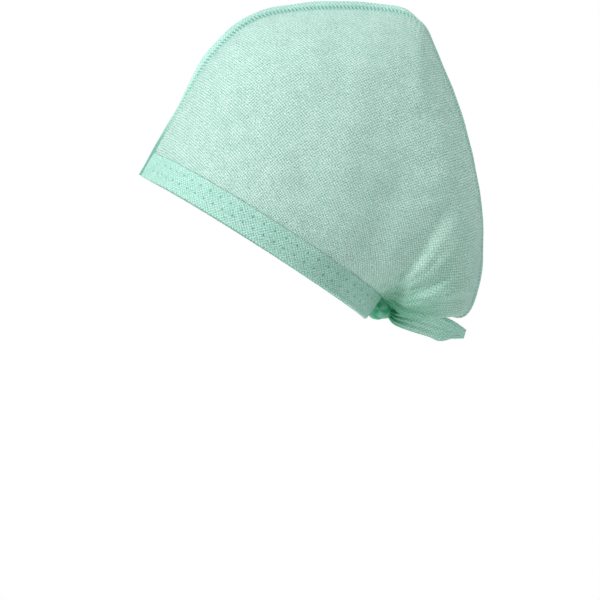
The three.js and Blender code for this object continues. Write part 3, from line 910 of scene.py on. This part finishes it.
def fibre_density(tree):
    """The product of two cosines, one along each side of the cloth, gives the diamonds. The
    sum of the spots made from it and of the noises, each by its share, is the density."""
    place = add_node(tree, "ShaderNodeUVMap", uv_map="cloth_mm")
    sides = add_node(tree, "ShaderNodeSeparateXYZ", {"Vector": place})
    pace = 2 * np.pi / (SPOT_PITCH * np.sqrt(2))
    waves = []
    for side in ("X", "Y"):
        angle = add_node(
            tree, "ShaderNodeMath", {0: sides.outputs[side], 1: pace}, operation="MULTIPLY"
        )
        waves.append(add_node(tree, "ShaderNodeMath", {0: angle}, operation="COSINE"))
    diamonds = add_node(tree, "ShaderNodeMath", {0: waves[0], 1: waves[1]}, operation="MULTIPLY")
    spots = add_node(
        tree,
        "ShaderNodeMapRange",
        {"Value": diamonds, "From Min": SPOT_EDGE[0], "From Max": SPOT_EDGE[1]},
    )
    density = add_node(
        tree, "ShaderNodeMath", {0: spots, 1: SPOT_SHARE, 2: EVEN_SHARE}, operation="MULTIPLY_ADD"
    )
    for length, width, turned, detail, low, high, share in UNEVEN:
        scaled = add_node(
            tree,
            "ShaderNodeMapping",
            {"Vector": place, "Scale": (1 / length, 1 / width, 1), "Rotation": (0, 0, turned)},
        )
        noise = add_node(
            tree, "ShaderNodeTexNoise", {"Vector": scaled, "Scale": 1.0, "Detail": detail}
        )
        patches = add_node(
            tree,
            "ShaderNodeMapRange",
            {"Value": noise.outputs["Fac"], "From Min": low, "From Max": high},
        )
        density = add_node(
            tree, "ShaderNodeMath", {0: patches, 1: share, 2: density}, operation="MULTIPLY_ADD"
        )
    return density


# %% Nonwoven material
RELIEF = 0.42 * MM  # of a tuft over a pressed spot, drawn deeper than the real one to show
MATT = 0.62  # soft fibres scatter light, so the gloss is weak and broad
POLYPROPYLENE_IOR = 1.49
OPENER, CLOSER = 0.16, 0.14  # thin places let this much more through, thick ones less
WELD_RELIEF = 0.3  # share of the relief that stays on a weld, which is pressed flat


def nonwoven(name, fibre, thin, see_through, lit_through, weld_plies_and_painted_shade_colour, weld_plies_and_painted_shade_open):
    """The density mixes the colours of thin and thick cloth, gives the relief, and sets what
    passes between the fibres. The weld number, which marks welds, plies over each other and, on
    the crown, the tapes and the knot, painted shade, brings its own colour and openness and less
    relief. The rest of the light is thrown back, or let through spread out."""
    material = bpy.data.materials.new(name)
    material.use_nodes = True
    tree = material.node_tree
    tree.nodes.clear()
    density = fibre_density(tree)
    weld = add_node(tree, "ShaderNodeAttribute", attribute_name="weld").outputs["Fac"]
    no_weld = add_node(tree, "ShaderNodeMath", {0: 1.0, 1: weld}, operation="SUBTRACT")

    # colour; inputs 6 and 7 and output 2 of a mix are the ones for colours
    unwelded = add_node(
        tree,
        "ShaderNodeMix",
        {"Factor": density.outputs[0], 6: light_from(thin), 7: light_from(fibre)},
        data_type="RGBA",
    )
    mixed = add_node(
        tree,
        "ShaderNodeMix",
        {"Factor": weld, 6: unwelded.outputs[2], 7: light_from(weld_plies_and_painted_shade_colour)},
        data_type="RGBA",
    )
    colour = mixed.outputs[2]

    # openness: the most in thin places, the least in thick ones, its own on welds and painted
    # shade
    closed = max(see_through - CLOSER, 0.0)
    between_fibres = add_node(
        tree,
        "ShaderNodeMapRange",
        {"Value": density, "To Min": see_through + OPENER, "To Max": closed},
    )
    off_welds = add_node(
        tree, "ShaderNodeMath", {0: between_fibres, 1: no_weld}, operation="MULTIPLY"
    )
    openness = add_node(
        tree, "ShaderNodeMath", {0: weld, 1: weld_plies_and_painted_shade_open, 2: off_welds}, operation="MULTIPLY_ADD"
    )

    # relief
    kept = add_node(
        tree,
        "ShaderNodeMath",
        {0: no_weld, 1: 1 - WELD_RELIEF, 2: WELD_RELIEF},
        operation="MULTIPLY_ADD",
    )
    height = add_node(tree, "ShaderNodeMath", {0: density, 1: kept}, operation="MULTIPLY")
    bump = add_node(
        tree, "ShaderNodeBump", {"Height": height.outputs[0], "Strength": 1.0, "Distance": RELIEF}
    )

    # the fibres, which throw light back and let some through, and the gaps between them
    thrown_back = add_node(
        tree,
        "ShaderNodeBsdfPrincipled",
        {"Base Color": colour, "Normal": bump, "Roughness": MATT, "IOR": POLYPROPYLENE_IOR},
    )
    let_through = add_node(tree, "ShaderNodeBsdfTranslucent", {"Color": colour, "Normal": bump})
    fibres = add_node(
        tree, "ShaderNodeMixShader", {0: lit_through, 1: thrown_back, 2: let_through}
    )
    gaps = add_node(tree, "ShaderNodeBsdfTransparent")
    cloth = add_node(tree, "ShaderNodeMixShader", {0: openness, 1: fibres, 2: gaps})
    add_node(tree, "ShaderNodeOutputMaterial", {"Surface": cloth})
    print(name, "has", len(tree.nodes), "nodes")
    return material


# %% [markdown]
# ## The same cloth in four states
#
# One ply is pale and lets the most through. In the hem it lies double and reads greener. The
# seam allowance is two plies pressed together, and the tapes are folded lengthwise. They could
# be one material with four settings, but four materials are easier to change one by one. Where
# plies are fused or lie tightly over each other, the cloth turns a deep mint green. The same
# deep green is painted shade on the back of the crown, on the tapes by the knot and in the
# knot's grooves.

# %% Materials
# the weld colour and openness stand for welds, for plies over each other and, on the crown, the
# tapes and the knot, for painted shade
CLOTHS = {  # thick and thin colour, open and lit-through shares, colour and openness of a weld
    # rolled once, one ply: pale, soft and the most see-through; its deep green is painted
    # shade and gathered plies on the back of the crown
    "spunbond_one_ply": ("#EFFCF9", "#7ABCA9", 0.28, 0.40, "#3AB486", 0.02),
    # folded and pin welded: greener, nearly closed, with small dark dots
    "spunbond_hem_pin_welded": ("#D4F3EB", "#84C8B5", 0.08, 0.32, "#2F8770", 0.08),
    # trimmed and bar welded: pale at the free edge, with a dark row of bars at the foot
    "spunbond_seam_bar_welded": ("#DDF6F1", "#A2DBCC", 0.20, 0.38, "#429F89", 0.05),
    # folded lengthwise and pulled tight: deep green where it is bunched by the knot and in the
    # knot's grooves, partly the plies and partly painted shade
    "spunbond_tape": ("#DDF7F0", "#8CD0BC", 0.08, 0.36, "#3DB589", 0.0),
}
one_ply, hem_plies, seam_plies, tape_plies = (
    nonwoven(name, *looks) for name, looks in CLOTHS.items()
)

# %% [markdown]
# ## What each piece stands for
#
# The dressed cap and the solid model are one part. So every piece is hung under an empty for
# the body that it moves with, hides the solid that it stands for, and gets its material. At the
# end the cut and the area of each crown panel are worked out again, but not kept.


# %% Finish every piece
def finish(piece, material, node):
    """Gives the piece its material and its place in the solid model."""
    piece.data.materials.append(material)
    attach(piece, "root")
    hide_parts(node)
    print(piece.name, "stands for", node)


for side in ("left", "right"):
    finish(crown[side], one_ply, "crown_" + side)
    finish(band[side][0], hem_plies, "band_" + side)
    finish(ties[side][0], tape_plies, "tie_" + side)
finish(seam, seam_plies, "centre_seam")
finish(knot, tape_plies, "tie_knot")

for side in ("left", "right"):
    cut = [float(x) * MM for x in crown_cut[side]]
    area = min(cloth_area(crown[side]), cut[0] * cut[1])

# %% [markdown]
# ## Floor and backdrop
#
# The photograph has a plain white ground. The cap is held up in its worn shape, so the floor
# lies well below it. A dome of white air all round would light the cloth evenly and hide its
# folds. So the air is only a little over half as bright as white, and a paper stands behind
# the cap that glows by itself, a painted pool of light: white straight behind the cap, it
# fades to the brightness of the air and so has no edge.

# %% Floor and backdrop
AIR = 0.56  # brightness of the studio air, where 1 shows as white
FLOOR_BELOW, FLOOR_HALF = 640, 12000  # mm under the middle of the opening, and half its side
BACKDROP_AWAY, BACKDROP_HALF, BACKDROP_TOP = 4000, 4200, 4200  # mm
GLOW_FROM, GLOW_TO = 1.1, 3.8  # metres from the middle of the backdrop
WHITE = 1.0


def stage_plane(name, corners):
    """A quad that belongs to the studio, with a bare node material; returns its node tree."""
    mesh = bpy.data.meshes.new(name)
    mesh.from_pydata((np.array(corners, float) * MM).tolist(), [], [(0, 1, 2, 3)])
    plane = bpy.data.objects.new(name, mesh)
    bpy.context.collection.objects.link(plane)
    material = bpy.data.materials.new(name + "_paper")
    material.use_nodes = True
    mesh.materials.append(material)
    return material.node_tree


far, low = FLOOR_HALF, -FLOOR_BELOW
flat_square = [(-far, -far, low), (far, -far, low), (far, far, low), (-far, far, low)]
floor = stage_plane("studio_floor", flat_square)
paper = floor.nodes["Principled BSDF"].inputs
paper["Base Color"].default_value = light_from("#F2F3F1")
paper["Roughness"].default_value = 0.9

x, y, z = -BACKDROP_AWAY, BACKDROP_HALF, BACKDROP_TOP
backdrop = stage_plane("studio_backdrop", [(x, -y, low), (x, y, low), (x, y, z), (x, -y, z)])
backdrop.nodes.clear()
# the backdrop glows: a painted pool of light, white straight behind the cap and fading to the air
spot = add_node(backdrop, "ShaderNodeTexCoord").outputs["Object"]
flat = add_node(backdrop, "ShaderNodeVectorMath", {0: spot, 1: (0, 1, 1)}, operation="MULTIPLY")
away = add_node(backdrop, "ShaderNodeVectorMath", {0: flat}, operation="LENGTH").outputs["Value"]
fade = {0: away, 1: GLOW_FROM, 2: GLOW_TO, 3: WHITE, 4: AIR}
fade = add_node(backdrop, "ShaderNodeMapRange", fade, interpolation_type="SMOOTHSTEP")
glowing_paper_painted_light = add_node(backdrop, "ShaderNodeEmission", {"Strength": fade})
add_node(backdrop, "ShaderNodeOutputMaterial", {"Surface": glowing_paper_painted_light})
print("floor", FLOOR_BELOW, "mm below, backdrop", BACKDROP_AWAY, "mm behind")

# %% [markdown]
# ## Light
#
# The light of the photograph is soft and comes from above and in front, with a weaker one
# behind. One large lamp could do, but the back and the top would go grey. So a soft box stands
# above the front, and a weaker one hangs over the back and shines through the cloth.

# %% Light
world = bpy.data.worlds.new("studio_air")
world.use_nodes = True
air = world.node_tree.nodes["Background"].inputs
air["Color"].default_value = (1, 1, 1, 1)
air["Strength"].default_value = AIR
bpy.context.scene.world = world
AIM = np.array([0, 0.03, 0.05])  # a point inside the cap, m


def soft_box(name, place, size, watts):
    """A square lamp that is turned first down from upright and then round, so that it faces
    the aim; its light falls off as that of a real soft box."""
    data = bpy.data.lights.new(name, "AREA")
    data.size = size
    data.energy = watts
    lamp = bpy.data.objects.new(name, data)
    lamp.location = place
    x, y, z = AIM - np.array(place)
    lamp.rotation_euler = (np.arctan2(np.hypot(x, y), -z), 0, np.arctan2(-x, y))
    bpy.context.collection.objects.link(lamp)
    print(name, "gives", watts, "watts")


soft_box("key_above_front", (1.15, -1.6, 1.35), 0.7, 62)
soft_box("rim_above_back", (0.3, 1.0, 1.8), 0.8, 14)
bpy.context.scene.view_settings.view_transform = "Standard"
